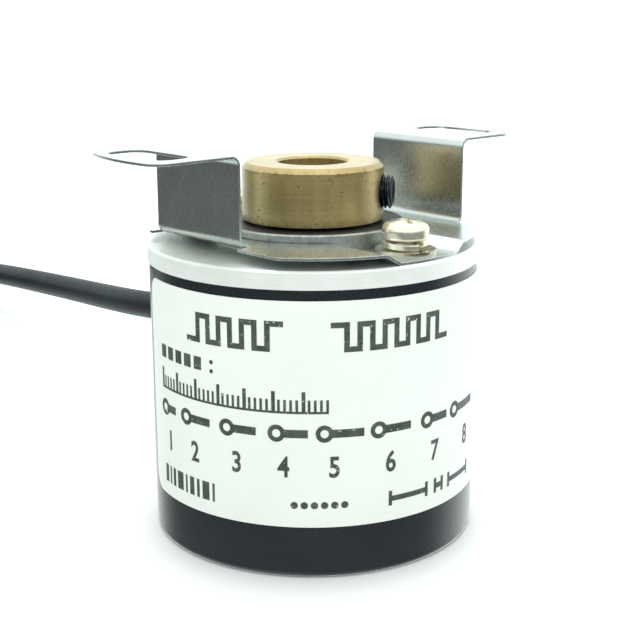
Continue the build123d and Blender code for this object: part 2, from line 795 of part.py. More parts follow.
def make_capacitors():
    """Small blocks beside the chip."""
    with BuildPart() as body:
        with BuildSketch(Plane.XY.offset(BOARD_TOP - BOARD_T - CAPACITOR_SIZE[2])):
            with Locations((CAPACITORS_AT, 0)):
                with GridLocations(*CAPACITOR_PITCH, 2, 3):
                    Rectangle(CAPACITOR_SIZE[0], CAPACITOR_SIZE[1])
        extrude(amount=CAPACITOR_SIZE[2] - PRESS)
    return body.part


# ---- standoffs, cover screws, seals --------------------------------------
def make_standoffs(bottom, top, hole, stud):
    """Three hexagon posts with a blind hole below and a stud on top."""
    places = [at(STANDOFF_PITCH_R, a, 0)[:2] for a in STANDOFF_AZ]
    with BuildPart() as body:
        with BuildSketch(Plane.XY.offset(bottom)):
            with Locations(*places):
                RegularPolygon(STANDOFF_FLAT_R, 6, major_radius=False)
        extrude(amount=top - bottom)
        with BuildSketch(Plane.XY.offset(bottom)):
            with Locations(*places):
                Circle(STUD_R + RUNNING)
        extrude(amount=hole, mode=Mode.SUBTRACT)
        with BuildSketch(Plane.XY.offset(top)):
            with Locations(*places):
                Circle(STUD_R)
        extrude(amount=stud)
    return body.part


def make_cover_screws():
    """Three countersunk screws in the rear face."""
    with BuildPart() as body:
        for angle in STANDOFF_AZ:
            spot = at(STANDOFF_PITCH_R, angle, COVER_SCREW_SINK)
            with BuildSketch(Plane(origin=spot)):
                Circle(COVER_SCREW_HEAD_R)
            with BuildSketch(Plane(origin=spot).offset(COVER_SCREW_CONE)):
                Circle(COVER_SCREW_R)
            loft()
            with BuildSketch(Plane(origin=spot).offset(COVER_SCREW_CONE)):
                Circle(COVER_SCREW_R)
            extrude(amount=COVER_SCREW_LENGTH - COVER_SCREW_CONE)
            with BuildSketch(Plane(origin=spot)):
                Rectangle(COVER_CROSS_LENGTH, COVER_CROSS_WIDTH)
                Rectangle(COVER_CROSS_WIDTH, COVER_CROSS_LENGTH)
            extrude(amount=COVER_CROSS_DEPTH, mode=Mode.SUBTRACT)
    return body.part


def make_seal():
    """Black dust seal in the boss, under the collar."""
    outline = (
        (SHAFT_R + CLEAR, SEAL_BOTTOM),
        (SEAL_R, SEAL_BOTTOM),
        (SEAL_R, SEAL_TOP),
        (SHAFT_R + SEAL_LIP_R, SEAL_TOP),
        (SHAFT_R + CLEAR, SEAL_TOP - SEAL_LIP_H),
    )
    return turned(outline)


def make_o_ring():
    """Ring seal between flange and housing."""
    with BuildPart() as body:
        with BuildSketch(Plane.XZ):
            with Locations((O_RING_R, O_RING_Z)):
                Circle(O_RING_SECTION)
        revolve(axis=Axis.Z)
    return body.part


# ---- cable --------------------------------------------------------------
def along_cable(reach, sideways, height):
    """A point given by its reach out from the axis and its offset from the exit line."""
    a = math.radians(CABLE_AZ)
    x = reach * math.cos(a) - sideways * math.sin(a)
    y = reach * math.sin(a) + sideways * math.cos(a)
    return Vector(x, y, height)


def corner_radii(points, share=0.45):
    """Largest arc at each corner that leaves a straight piece of every run."""
    radii = []
    for before, corner, after in zip(points, points[1:], points[2:]):
        into = corner - before
        out = after - corner
        turn = math.radians(into.get_angle(out))
        radii.append(share * min(into.length, out.length) / math.tan(turn / 2))
    return radii


def round_rod(points, radius, radii):
    """A solid round rod along straight runs joined by arcs, with its length."""
    with BuildPart() as body:
        with BuildLine() as path:
            FilletPolyline(*points, radius=radii)
        with BuildSketch(Plane(origin=points[0], z_dir=points[1] - points[0])):
            Circle(radius)
        sweep(path=path.wire())
    return body.part, path.wire().length


def make_cable():
    """The jacket from inside the grommet to the coil."""
    points = [along_cable(*p) for p in CABLE_ROUTE]
    radii = corner_radii(points)
    body, length = round_rod(points, CABLE_R, radii)
    share = body.volume / (math.pi * CABLE_R**2 * length)
    print("cable corner radii", [round(r, 1) for r in radii])
    print(f"cable run {length:.1f} mm, volume share {share:.4f}")
    return body


def make_grommet():
    """Rubber boot: neck through the wall, flange outside, tapered nose."""
    wall = out_from_axis(CABLE_AZ, CABLE_EXIT_Z)
    neck_from = HOUSING_INNER_R - GROMMET_INSIDE
    with BuildPart() as body:
        with BuildSketch(wall.offset(HOUSING_R - GROMMET_SUNK)):
            Circle(GROMMET_FLANGE_R)
        extrude(amount=GROMMET_FLANGE_T + GROMMET_SUNK)
        with BuildSketch(wall.offset(HOUSING_R + GROMMET_FLANGE_T)):
            Circle(GROMMET_FLANGE_R - GROMMET_SHOULDER)
        with BuildSketch(wall.offset(GROMMET_TIP_AT)):
            Circle(GROMMET_TIP_R)
        loft()
        with BuildSketch():
            Circle(HOUSING_R + FIT)
        extrude(amount=FLANGE_BOTTOM, mode=Mode.SUBTRACT)
        with BuildSketch(wall.offset(neck_from)):
            Circle(GROMMET_NECK_R - FIT)
        extrude(amount=HOUSING_R + GROMMET_JOIN - neck_from)
        with BuildSketch(wall.offset(CABLE_START_R)):
            Circle(CABLE_R + FIT)
        extrude(amount=GROMMET_TIP_AT, mode=Mode.SUBTRACT)
    return body.part


def make_crimp():
    """Crimped ring on the end of the jacket, inside the wall."""
    wall = out_from_axis(CABLE_AZ, CABLE_EXIT_Z)
    with BuildPart() as body:
        with BuildSketch(wall.offset(CABLE_START_R)):
            Circle(CRIMP_R)
            Circle(CABLE_R + FIT, mode=Mode.SUBTRACT)
        extrude(amount=HOUSING_INNER_R - GROMMET_INSIDE - CLEAR - CABLE_START_R)
    return body.part


def make_inner_wires():
    """Conductors from the jacket down to the header."""
    wires = []
    for number in range(WIRE_COUNT):
        across = (number % WIRES_PER_ROW - (WIRES_PER_ROW - 1) / 2) * WIRE_PITCH
        row = number // WIRES_PER_ROW
        level = CABLE_EXIT_Z + WIRE_PITCH * (row - 0.5)
        reach = HEADER_REACH - WIRE_PITCH * (row - 0.5)
        corners = (
            along_cable(CABLE_START_R, across, level),
            along_cable(reach, across, level),
            along_cable(reach, across, HEADER_TOP),
        )
        wire, _ = round_rod(corners, WIRE_R, [WIRE_BEND_R])
        wires.append(wire)
    return Compound(wires)


def coil_plane(height):
    """Plane through the middle of the coil."""
    return Plane(origin=along_cable(*COIL_AT, height), x_dir=along_cable(1, 0, 0))


def make_coil():
    """Outer shape of the wound turns with a short straight piece at each end."""
    outer = max(COIL_TURNS_R) + CABLE_R
    inner = min(COIL_TURNS_R) - CABLE_R
    tall = 2 * CABLE_R * COIL_LAYERS
    far = max(COIL_TURNS_R)
    arrive = along_cable(COIL_AT[0] - COIL_STUB, COIL_AT[1] - far, tall - CABLE_R)
    leave = along_cable(COIL_AT[0], COIL_AT[1] + far, CABLE_R)
    with BuildPart() as body:
        with BuildSketch(coil_plane(0)):
            Circle(outer)
            Circle(inner, mode=Mode.SUBTRACT)
        extrude(amount=tall)
        fillet(body.edges().filter_by(GeomType.CIRCLE), COIL_ROUND)
        for start, run in ((arrive, COIL_STUB), (leave, -COIL_STUB)):
            with BuildSketch(Plane(origin=start, z_dir=along_cable(1, 0, 0))):
                Circle(CABLE_R)
            extrude(amount=run)
    return body.part


def make_coil_tie():
    """Flat band around the turns at the far side of the coil."""
    middle = sum(COIL_TURNS_R) / len(COIL_TURNS_R)
    wide = max(COIL_TURNS_R) - min(COIL_TURNS_R) + 2 * CABLE_R + 2 * TIE_GAP
    tall = 2 * CABLE_R * COIL_LAYERS
    place = along_cable(COIL_AT[0] + middle, COIL_AT[1], tall / 2)
    cut = Plane(origin=place, x_dir=along_cable(1, 0, 0), z_dir=along_cable(0, 1, 0))
    with BuildPart() as body:
        with BuildSketch(cut):
            RectangleRounded(wide + 2 * TIE_T, tall + 2 * TIE_T, TIE_CORNER_R)
            RectangleRounded(wide, tall + 2 * TIE_GAP, TIE_INNER_R, mode=Mode.SUBTRACT)
        extrude(amount=TIE_WIDTH / 2, both=True)
        with BuildSketch(cut.offset(TIE_WIDTH / 2)):
            with Locations((wide / 2 + TIE_T + TIE_HEAD_OUT, 0)):
                Rectangle(*TIE_HEAD)
        extrude(amount=-TIE_WIDTH)
        with BuildSketch():
            Rectangle(UNDER_SIZE, UNDER_SIZE)
        extrude(amount=-UNDER_DEPTH, mode=Mode.SUBTRACT)
    return body.part


def loose_end(reach, sideways, height):
    """A point on the loose end, measured back from where it leaves the coil."""
    return along_cable(
        COIL_AT[0] - COIL_STUB - reach, COIL_AT[1] + max(COIL_TURNS_R) + sideways, height
    )


def make_end_sleeve():
    """Shrunk sleeve over the end of the jacket, from which the leads come out."""
    back = Plane(origin=loose_end(0, 0, CABLE_R), z_dir=along_cable(-1, 0, 0))
    with BuildPart() as body:
        with BuildSketch(back):
            Circle(CABLE_R)
        extrude(amount=SLEEVE_LENGTH)
    return body.part


def make_leads():
    """Eight insulated leads fanned out on the surface."""
    leads = []
    for number in range(WIRE_COUNT):
        column = number % WIRES_PER_ROW - (WIRES_PER_ROW - 1) / 2
        row = number // WIRES_PER_ROW
        place = number - (WIRE_COUNT - 1) / 2
        height = CABLE_R + LEAD_ROW * (row - 0.5)
        corners = [
            loose_end(SLEEVE_LENGTH, column * LEAD_PITCH, height),
            loose_end(SLEEVE_LENGTH + LEAD_STRAIGHT, column * LEAD_PITCH, height),
            loose_end(SLEEVE_LENGTH + LEAD_LENGTH / 2, place * LEAD_SPREAD, LEAD_R + FIT),
            loose_end(SLEEVE_LENGTH + LEAD_LENGTH, place * LEAD_SPREAD_END, LEAD_R),
        ]
        lead, _ = round_rod(corners, LEAD_R, corner_radii(corners, share=0.35))
        leads.append(lead)
    return Compound(leads)


# ---- every node ----------------------------------------------------------
save(make_housing(), "housing")
save(make_label(), "label")
save(make_flange(), "mounting_flange")
save(make_o_ring(), "housing_o_ring")
save(make_cover_screws(), "cover_screws")
save(make_seal(), "shaft_seal")

save(make_shaft(), "hollow_shaft")
for screw_name, screw_angle in SET_SCREW_ANGLES.items():
    save(make_set_screw(screw_angle), screw_name)

save(make_spring(), "stator_spring")
for suffix, end in (("front", -1), ("rear", 1)):
    save(make_spring_screw(end), f"spring_screw_{suffix}")
    save(make_lock_washer(end), f"lock_washer_{suffix}")
    save(make_flat_washer(end), f"flat_washer_{suffix}")

for level_name, level in BEARINGS.items():
    save(make_inner_race(level), f"{level_name}_bearing_inner_race")
    save(make_outer_race(level), f"{level_name}_bearing_outer_race")
    save(make_balls(level), f"{level_name}_bearing_balls")
    save(make_cage(level), f"{level_name}_bearing_cage")
    save(make_shields(level), f"{level_name}_bearing_shields")
spacer_bottom = BEARINGS["lower"] + BEARING_W
save(tube(INNER_RACE_R - LOOSE, SHAFT_R + FIT, spacer_bottom, BEARINGS["upper"]), "bearing_spacer")
save(make_retaining_ring(), "shaft_retaining_ring")

save(make_disc_hub(), "disc_hub")
save(make_code_disc(), "code_disc")
save(make_disc_clamp(), "disc_clamp_ring")
save(make_disc_screw(), "disc_screw")

save(make_board(), "circuit_board")
detector_top = BOARD_TOP + DETECTOR_SIZE[2]
save(on_board(OPTICS_AZ, EMITTER_R, DETECTOR_SIZE, BOARD_TOP), "light_detector")
save(on_board(OPTICS_AZ, EMITTER_R, MASK_SIZE, detector_top), "detector_mask")
save(make_emitter_holder(), "emitter_bracket")
save(make_emitter(), "light_emitter")
save(make_driver_chip(), "line_driver_chip")
save(make_capacitors(), "board_capacitors")
header_size = (HEADER_DEPTH, HEADER_WIDTH, HEADER_TOP - BOARD_TOP)
save(on_board(CABLE_AZ, HEADER_REACH, header_size, BOARD_TOP), "wire_header")
upper_top = SPIGOT_BOTTOM
save(make_standoffs(BOARD_TOP, upper_top, STUD_LENGTH + HOLE_OVER, STUD_LENGTH), "upper_standoffs")
lower_hole = COVER_SCREW_LENGTH + COVER_SCREW_SINK - HOUSING_FLOOR + HOLE_OVER
lower_stud = BOARD_T + STUD_LENGTH
save(
    make_standoffs(HOUSING_FLOOR, BOARD_TOP - BOARD_T, lower_hole, lower_stud),
    "lower_standoffs",
)

save(make_grommet(), "cable_grommet")
save(make_crimp(), "cable_crimp_ring")
save(make_inner_wires(), "inner_wires")
save(make_cable(), "cable")
save(make_coil(), "cable_coil")
save(make_coil_tie(), "coil_tie")
save(make_end_sleeve(), "cable_end_sleeve")
save(make_leads(), "cable_leads")
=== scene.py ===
import json
import math

import bpy
from mathutils import Matrix, Vector


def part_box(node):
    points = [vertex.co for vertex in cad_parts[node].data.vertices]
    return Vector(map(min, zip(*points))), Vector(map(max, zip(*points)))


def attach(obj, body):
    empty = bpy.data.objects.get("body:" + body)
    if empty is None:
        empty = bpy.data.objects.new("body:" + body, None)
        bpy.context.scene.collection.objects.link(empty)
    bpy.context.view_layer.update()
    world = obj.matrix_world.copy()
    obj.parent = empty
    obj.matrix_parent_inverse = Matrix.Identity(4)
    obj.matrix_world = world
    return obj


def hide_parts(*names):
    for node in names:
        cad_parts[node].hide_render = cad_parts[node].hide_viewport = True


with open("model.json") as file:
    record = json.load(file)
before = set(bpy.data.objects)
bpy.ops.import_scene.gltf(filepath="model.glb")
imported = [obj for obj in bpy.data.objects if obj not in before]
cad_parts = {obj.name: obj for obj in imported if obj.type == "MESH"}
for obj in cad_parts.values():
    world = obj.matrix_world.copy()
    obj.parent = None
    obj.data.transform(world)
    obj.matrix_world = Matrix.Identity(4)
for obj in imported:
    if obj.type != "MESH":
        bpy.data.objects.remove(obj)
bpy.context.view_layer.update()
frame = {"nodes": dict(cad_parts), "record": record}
NODES = frame["nodes"]
RECORD = frame["record"]
SLOT_OF = {part["node"]: part["material_slot"] for part in RECORD["subparts"]}
MM = 0.001

# ---- camera, from the front left of the encoder and a little above it -------
CAMERA_AT = (-98.49 * MM, -106.79 * MM, 61.2 * MM)
CAMERA_HEADING = math.radians(-43.0)
CAMERA_DOWN = 0.2516
CAMERA_ROLL = -0.0025
CAMERA_LENS = 71.94

FACING = math.radians(227.31)          # azimuth of the side that faces the camera


def make_camera():
    data = bpy.data.cameras.new("camera")
    data.lens = CAMERA_LENS
    data.sensor_width = 36
    data.clip_start = 0.005
    data.clip_end = 20
    camera = bpy.data.objects.new("camera", data)
    bpy.context.scene.collection.objects.link(camera)
    turn = (Matrix.Rotation(CAMERA_HEADING, 4, "Z")
            @ Matrix.Rotation(math.pi / 2 - CAMERA_DOWN, 4, "X")
            @ Matrix.Rotation(CAMERA_ROLL, 4, "Z"))
    camera.matrix_world = Matrix.Translation(CAMERA_AT) @ turn
    bpy.context.scene.camera = camera


make_camera()


# ---- shader helpers ---------------------------------------------------------
def add_node(tree, kind, settings=None, **inputs):
    """A node with its settings and inputs; i0, i1 and so on are sockets by number, the rest by name."""
    node = tree.nodes.new(kind)
    for key, value in (settings or {}).items():
        setattr(node, key, value)
    for key, value in inputs.items():
        by_number = key[0] == "i" and key[1:].isdigit()
        socket = node.inputs[int(key[1:]) if by_number else key.replace("_", " ")]
        if isinstance(value, bpy.types.NodeSocket):
            tree.links.new(value, socket)
        else:
            socket.default_value = value
    return node


class Shader:
    """A material's node tree with short ways to add and join nodes."""

    def __init__(self, name, **sockets):
        self.material = bpy.data.materials.new(name)
        self.material.use_nodes = True
        self.tree = self.material.node_tree
        self.bsdf = self.tree.nodes["Principled BSDF"]
        for socket, value in sockets.items():
            self.bsdf.inputs[socket.replace("_", " ")].default_value = value

    def add(self, kind, settings=None, **inputs):
        return add_node(self.tree, kind, settings, **inputs)

    def math(self, operation, a, b=0.0):
        return self.add("ShaderNodeMath", {"operation": operation}, i0=a, i1=b).outputs[0]

    def mix(self, amount, a, b):
        node = self.add("ShaderNodeMix", {"data_type": "RGBA"}, i0=amount)
        for index, value in ((6, a), (7, b)):
            if isinstance(value, bpy.types.NodeSocket):
                self.tree.links.new(value, node.inputs[index])
            else:
                node.inputs[index].default_value = (*value, 1)
        return node.outputs[2]

    def spread(self, value, low, high, from_low=0.3, from_high=0.7):
        """The value, moved from one range to another and held within it."""
        node = self.add("ShaderNodeMapRange", None, Value=value, From_Min=from_low,
                        From_Max=from_high, To_Min=low, To_Max=high)
        return node.outputs[0]

    def noise(self, vector, scale, detail=3.0, roughness=0.6):
        node = self.add("ShaderNodeTexNoise", None, Vector=vector, Scale=scale, Detail=detail,
                        Roughness=roughness)
        return node.outputs["Fac"]

    def place(self):
        return self.add("ShaderNodeTexCoord").outputs["Object"]

    def stretched(self, x, y, z):
        """Object coordinates scaled by axis: a grain runs along the axis with the small number."""
        node = self.add("ShaderNodeVectorMath", {"operation": "MULTIPLY"}, i0=self.place(), i1=(x, y, z))
        return node.outputs[0]

    def height(self):
        return self.add("ShaderNodeSeparateXYZ", None, Vector=self.place()).outputs["Z"]

    def turned(self, along=0.03):
        """Coordinates in which a grain runs round the Z axis, as a lathe leaves it."""
        apart = self.add("ShaderNodeSeparateXYZ", None, Vector=self.place())
        x, y, z = apart.outputs
        squares = self.math("ADD", self.math("MULTIPLY", x, x), self.math("MULTIPLY", y, y))
        radius = self.math("SQRT", squares)
        slow = self.math("MULTIPLY", self.math("ADD", x, self.math("MULTIPLY", y, 0.7)), along)
        return self.add("ShaderNodeCombineXYZ", None, X=radius, Y=z, Z=slow).outputs[0]

    def color(self, value):
        self.set("Base Color", value)

    def set(self, socket, value):
        self.tree.links.new(value, self.bsdf.inputs[socket])

    def bump(self, height, distance, edge=0.0):
        """Fine relief, and edges rounded to the given radius."""
        node = self.add("ShaderNodeBump", None, Height=height, Distance=distance)
        if edge:
            rounded = self.add("ShaderNodeBevel", {"samples": 6}, Radius=edge)
            self.tree.links.new(rounded.outputs[0], node.inputs["Normal"])
        self.set("Normal", node.outputs[0])


def moulded(name, dark, light, rough, grain=2500.0, depth=6e-6, **sockets):
    """Plastic, rubber or paint: fine even texture and slow changes of tone."""
    s = Shader(name, **sockets)
    place = s.place()
    slow = s.noise(place, 120, 3)
    fine = s.noise(place, grain, 3)
    s.color(s.mix(s.spread(slow, 0, 1), dark, light))
    s.set("Roughness", s.spread(fine, rough - 0.06, rough + 0.08))
    s.bump(fine, depth)
    return s.material


def metal(name, dark, light, rough, vector=None, grain=5200.0, depth=3e-6, spread=0.08, edge=0.0,
          **sockets):
    """Bare or plated metal: streaks along its grain, with a slow change of tone."""
    s = Shader(name, **{"Metallic": 1.0, **sockets})
    along = vector(s) if vector else s.place()
    streak = s.noise(along, grain, 4, 0.7)
    slow = s.noise(s.place(), 170, 3)
    tone = s.math("ADD", s.math("MULTIPLY", streak, 0.55), s.math("MULTIPLY", slow, 0.45))
    s.color(s.mix(s.spread(tone, 0, 1, 0.35, 0.65), dark, light))
    smear = s.spread(s.noise(s.place(), 260, 4, 0.65), -spread, spread)
    s.set("Roughness", s.math("ADD", s.spread(streak, rough - spread, rough + spread), smear))
    s.bump(streak, depth, edge)
    return s.material


COLLAR_EDGE_Z = 42.05 * MM
COLLAR_FOOT_Z = 36.3 * MM
EDGE_WEAR = 0.4 * MM
FOOT_WEAR = 0.8 * MM
FLANGE_FACE_Z = 33.7 * MM
BOSS_FROM_Z = 34.0 * MM


def brass_turned():
    """Free-cutting brass from a lathe: fine rings, small pits and darker stains near the edges."""
    s = Shader("turned_brass", Metallic=0.8, Coat_Weight=0.6, Coat_Roughness=0.25)
    rings = s.noise(s.turned(0.05), 6500, 4, 0.7)
    slow = s.noise(s.place(), 210, 4, 0.6)
    upright = s.noise(s.stretched(1, 1, 0.06), 330, 3, 0.6)
    tone = s.math("ADD", s.math("MULTIPLY", rings, 0.30), s.math("MULTIPLY", slow, 0.22))
    tone = s.math("ADD", tone, s.math("MULTIPLY", upright, 0.48))
    base = s.mix(s.spread(tone, 0, 1, 0.35, 0.65), (0.335, 0.255, 0.100), (0.545, 0.425, 0.19))
    stain = s.spread(s.noise(s.place(), 900, 5, 0.75), 0, 0.75, 0.60, 0.72)
    base = s.mix(stain, base, (0.16, 0.115, 0.045))
    from_edge = s.math("ABSOLUTE", s.math("SUBTRACT", s.height(), COLLAR_EDGE_Z))
    by_edge = s.spread(from_edge, 1, 0, EDGE_WEAR / 5, EDGE_WEAR)
    by_foot = s.spread(s.height(), 1, 0, COLLAR_FOOT_Z, COLLAR_FOOT_Z + FOOT_WEAR)
    patches = s.spread(s.noise(s.place(), 1500, 5, 0.7), 0, 0.7, 0.47, 0.60)
    worn = s.math("MULTIPLY", s.math("MAXIMUM", by_edge, by_foot), patches)
    base = s.mix(worn, base, (0.25, 0.165, 0.055))
    cells = s.add("ShaderNodeTexVoronoi", None, Vector=s.place(), Scale=1500.0, Randomness=1.0)
    pits = cells.outputs["Distance"]
    where = s.spread(s.noise(s.place(), 420, 2), 0, 1, 0.50, 0.62)
    pit = s.math("MULTIPLY", s.spread(pits, 1, 0, 0.10, 0.24), where)
    base = s.mix(pit, base, (0.10, 0.075, 0.03))
    s.color(base)
    s.set("Roughness", s.math("ADD", s.spread(rings, 0.36, 0.50), s.math("MULTIPLY", pit, 0.25)))
    s.bump(s.math("SUBTRACT", s.math("MULTIPLY", rings, 0.22), pit), 9e-6)
    return s.material


def flange_turned():
    """Clear-coated alloy: a pale turned rim, a more metallic face and boss above it, and painted shade on
    the boss, whose colour is much darker than the rim's.
    """
    s = Shader("turned_alloy")
    rings = s.noise(s.turned(), 6000, 4, 0.7)
    slow = s.noise(s.place(), 170, 3)
    tone = s.math("ADD", s.math("MULTIPLY", rings, 0.5), s.math("MULTIPLY", slow, 0.5))
    rim = s.mix(s.spread(tone, 0, 1, 0.35, 0.65), (0.73, 0.77, 0.73), (0.87, 0.90, 0.86))
    # painted shade: the boss gets a much darker colour than the rim, standing in for the dark surroundings
    # it reflects
    boss_painted_shade = s.mix(s.spread(s.noise(s.place(), 1100, 4), 0, 1), (0.26, 0.285, 0.27), (0.46, 0.49, 0.46))
    on_boss = s.spread(s.height(), 0, 1, BOSS_FROM_Z - 0.1 * MM, BOSS_FROM_Z + 0.1 * MM)
    on_face = s.spread(s.height(), 0.3, 0.72, FLANGE_FACE_Z - 0.02 * MM, FLANGE_FACE_Z + 0.04 * MM)
    s.color(s.mix(on_boss, rim, boss_painted_shade))
    s.set("Metallic", s.math("ADD", on_face, s.math("MULTIPLY", on_boss, 0.22)))
    s.set("Roughness", s.spread(rings, 0.36, 0.50))
    s.bump(rings, 2.0e-6)
    return s.material


def label_film():
    """White printed film: almost even, with a little mottling and soft waviness."""
    s = Shader("label_film", IOR=1.45)
    slow = s.noise(s.place(), 90, 3)
    fine = s.noise(s.place(), 3200, 3)
    s.color(s.mix(s.spread(slow, 0, 1), (0.715, 0.75, 0.71), (0.755, 0.785, 0.745)))
    s.set("Roughness", s.spread(fine, 0.40, 0.52))
    s.bump(s.math("ADD", s.math("MULTIPLY", fine, 0.3), s.noise(s.place(), 260, 2)), 1.2e-5)
    return s.material


def print_ink():
    """Thermal print: dark, slightly green, with worn gaps that let the film through."""
    s = Shader("print_ink")
    wear = s.noise(s.place(), 2600, 4, 0.7)
    band = s.noise(s.stretched(120, 120, 2600), 1.0, 2)
    gone = s.math("MULTIPLY", s.spread(wear, 0, 1, 0.60, 0.68), s.spread(band, 0, 1, 0.50, 0.60))
    ink = s.mix(s.spread(s.noise(s.place(), 700, 3), 0, 1), (0.030, 0.042, 0.032), (0.075, 0.092, 0.076))
    s.color(s.mix(gone, ink, (0.8, 0.86, 0.82)))
    s.set("Roughness", s.spread(wear, 0.45, 0.6))
    s.bump(wear, 4e-6)
    return s.material


def board_green():
    """Solder mask over copper: green with faint darker tracks."""
    s = Shader("board_green", Coat_Weight=0.4, Coat_Roughness=0.15)
    tracks = s.add("ShaderNodeTexBrick", None, Vector=s.stretched(500, 500, 0), Scale=1.0,
                   Color1=(0.012, 0.13, 0.05, 1), Color2=(0.016, 0.16, 0.065, 1),
                   Mortar=(0.03, 0.24, 0.10, 1))
    s.color(tracks.outputs["Color"])
    s.set("Roughness", s.spread(s.noise(s.place(), 3000, 3), 0.3, 0.42))
    s.bump(tracks.outputs["Fac"], 1.5e-5)
    return s.material


def clear_part(name, tint, rough):
    s = Shader(name, Transmission_Weight=0.75, IOR=1.5)
    fine = s.noise(s.place(), 2500, 3)
    s.color(s.mix(s.spread(fine, 0, 1), tint, tuple(min(1, c * 1.1) for c in tint)))
    s.set("Roughness", s.spread(fine, rough, rough + 0.06))
    s.bump(fine, 1e-6)
    return s.material


def rolled(s):
    """Grain of the sheet, along the length of the strip."""
    return s.stretched(0.35, 1.0, 0.35)


MATERIALS = {
    "black_coat": moulded("black_coating", (0.0085, 0.0115, 0.014), (0.012, 0.0155, 0.0185), 0.27,
                          4200, 3e-7),
    "label_stock": label_film(),
    "flange_alloy": flange_turned(),
    "seal_rubber": moulded("black_rubber", (0.007, 0.008, 0.009), (0.014, 0.015, 0.016), 0.42),
    "plated_steel": metal("nickel_plate", (0.76, 0.72, 0.57), (0.92, 0.89, 0.75), 0.20, None, 2600,
                          2.5e-6, 0.05, Metallic=0.8),
    "shaft_brass": brass_turned(),
    "black_steel": metal("black_oxide", (0.030, 0.038, 0.048), (0.075, 0.088, 0.105), 0.30, None, 2400,
                         4e-6),
    "spring_steel": metal("rolled_stainless", (0.55, 0.59, 0.575), (0.66, 0.70, 0.68), 0.27, rolled, 5200,
                          2.5e-7, 0.02, 0.14 * MM),
    "board_laminate": board_green(),
    "disc_film": moulded("code_film", (0.02, 0.016, 0.022), (0.045, 0.035, 0.045), 0.18, 1800, 1e-6),
    "hub_alloy": metal("hub_alloy", (0.62, 0.63, 0.64), (0.8, 0.8, 0.81), 0.28, Shader.turned, 5200),
    "chip_plastic": moulded("chip_plastic", (0.012, 0.012, 0.013), (0.028, 0.028, 0.03), 0.55),
    "mask_glass": clear_part("mask_glass", (0.75, 0.82, 0.85), 0.04),
    "bracket_plastic": moulded("bracket_plastic", (0.03, 0.03, 0.033), (0.055, 0.055, 0.06), 0.5),
    "lamp_lens": clear_part("lamp_lens", (0.55, 0.62, 0.85), 0.05),
    "ceramic_body": moulded("ceramic_body", (0.42, 0.27, 0.13), (0.56, 0.38, 0.2), 0.45),
    "header_plastic": moulded("header_plastic", (0.72, 0.70, 0.6), (0.82, 0.8, 0.72), 0.42),
    "standoff_brass": metal("standoff_brass", (0.55, 0.42, 0.18), (0.72, 0.58, 0.3), 0.24,
                            Shader.turned, 5000),
    "boot_rubber": moulded("boot_rubber", (0.008, 0.010, 0.012), (0.017, 0.020, 0.023), 0.55, 2200, 1e-5),
    "wire_plastic": moulded("wire_plastic", (0.36, 0.03, 0.025), (0.5, 0.06, 0.04), 0.4),
    "jacket_plastic": moulded("cable_jacket", (0.008, 0.0125, 0.0155), (0.014, 0.021, 0.025), 0.46,
                              1900, 1.1e-5, Specular_IOR_Level=0.10),
    "tie_plastic": moulded("tie_plastic", (0.010, 0.010, 0.011), (0.020, 0.020, 0.022), 0.38),
    "sleeve_plastic": moulded("shrunk_sleeve", (0.006, 0.006, 0.007), (0.014, 0.014, 0.015), 0.5, 1500,
                              1.4e-5),
    "race_steel": metal("ground_steel", (0.6, 0.61, 0.63), (0.78, 0.79, 0.8), 0.18, Shader.turned, 7000,
                        1.5e-6),
    "washer_steel": metal("washer_plate", (0.55, 0.52, 0.42), (0.76, 0.73, 0.62), 0.22, Shader.turned,
                          5200, 3e-6),
    "ball_steel": metal("ball_steel", (0.75, 0.76, 0.78), (0.88, 0.88, 0.9), 0.07, None, 3000, 3e-7, 0.02),
    "cage_steel": metal("pressed_steel", (0.5, 0.51, 0.52), (0.66, 0.67, 0.68), 0.3, Shader.turned, 5200,
                        2e-6),
}

for name, node in NODES.items():
    if not node.material_slots:
        node.data.materials.append(None)
    for material_slot in node.material_slots:
        material_slot.material = MATERIALS[SLOT_OF[name]]


# ---- the cable: its route in metres, and the coil it ends in ----------------
CABLE_TURN = math.radians(78.3)
CABLE_R = 2.0 * MM
COIL_CENTRE = (0.160, 0.026)
STEPS_PER_TURN = 24
COIL_TURNS = 5.5
COIL_SWELL = 1.004                     # a smooth line through a circle's points runs a little inside it
COIL_RADII = ((0, 26), (0.85, 26), (1.0, 22), (1.85, 22), (2.0, 18), (3.55, 18), (3.7, 22), (4.55, 22),
              (4.7, 26), (COIL_TURNS, 26))
COIL_HEIGHTS = ((0, 6), (2.7, 6), (2.85, 2), (COIL_TURNS, 2))
CABLE_ROUTE = ((0.0164, 0, 0.0182), (0.033, 0, 0.0182), (0.050, 0.0006, 0.0155), (0.084, -0.0005, 0.0113),
               (0.112, 0.0002, 0.0082), (0.128, 0, 0.0060), (0.140, 0, 0.0060), (0.155, 0, 0.0060))
LOOSE_SIDE = 0.052
CABLE_TAIL = ((0.155, LOOSE_SIDE, 0.002), (0.140, LOOSE_SIDE, 0.002), (0.130, LOOSE_SIDE, 0.002))
SLEEVE_END = 0.128
LEAD_R = 0.45 * MM
LEAD_TIP_R = 0.24 * MM
LEAD_PITCH = 0.94 * MM
LEAD_START = (-0.002, 0.003)
LEAD_FAN = ((0.010, 1.1, 0.9 * MM), (0.019, 2.1, 0.47 * MM), (0.033, 2.5, LEAD_R))
LEAD_TIP = ((0.032, 2.47, LEAD_R), (0.038, 2.62, 0.42 * MM))
LEAD_COLORS = {
    "red": (0.45, 0.02, 0.015), "black": (0.012, 0.012, 0.014), "green": (0.02, 0.22, 0.05),
    "white": (0.75, 0.75, 0.72), "yellow": (0.65, 0.48, 0.03), "brown": (0.12, 0.045, 0.02),
    "grey": (0.24, 0.25, 0.26), "orange": (0.65, 0.17, 0.02),
}


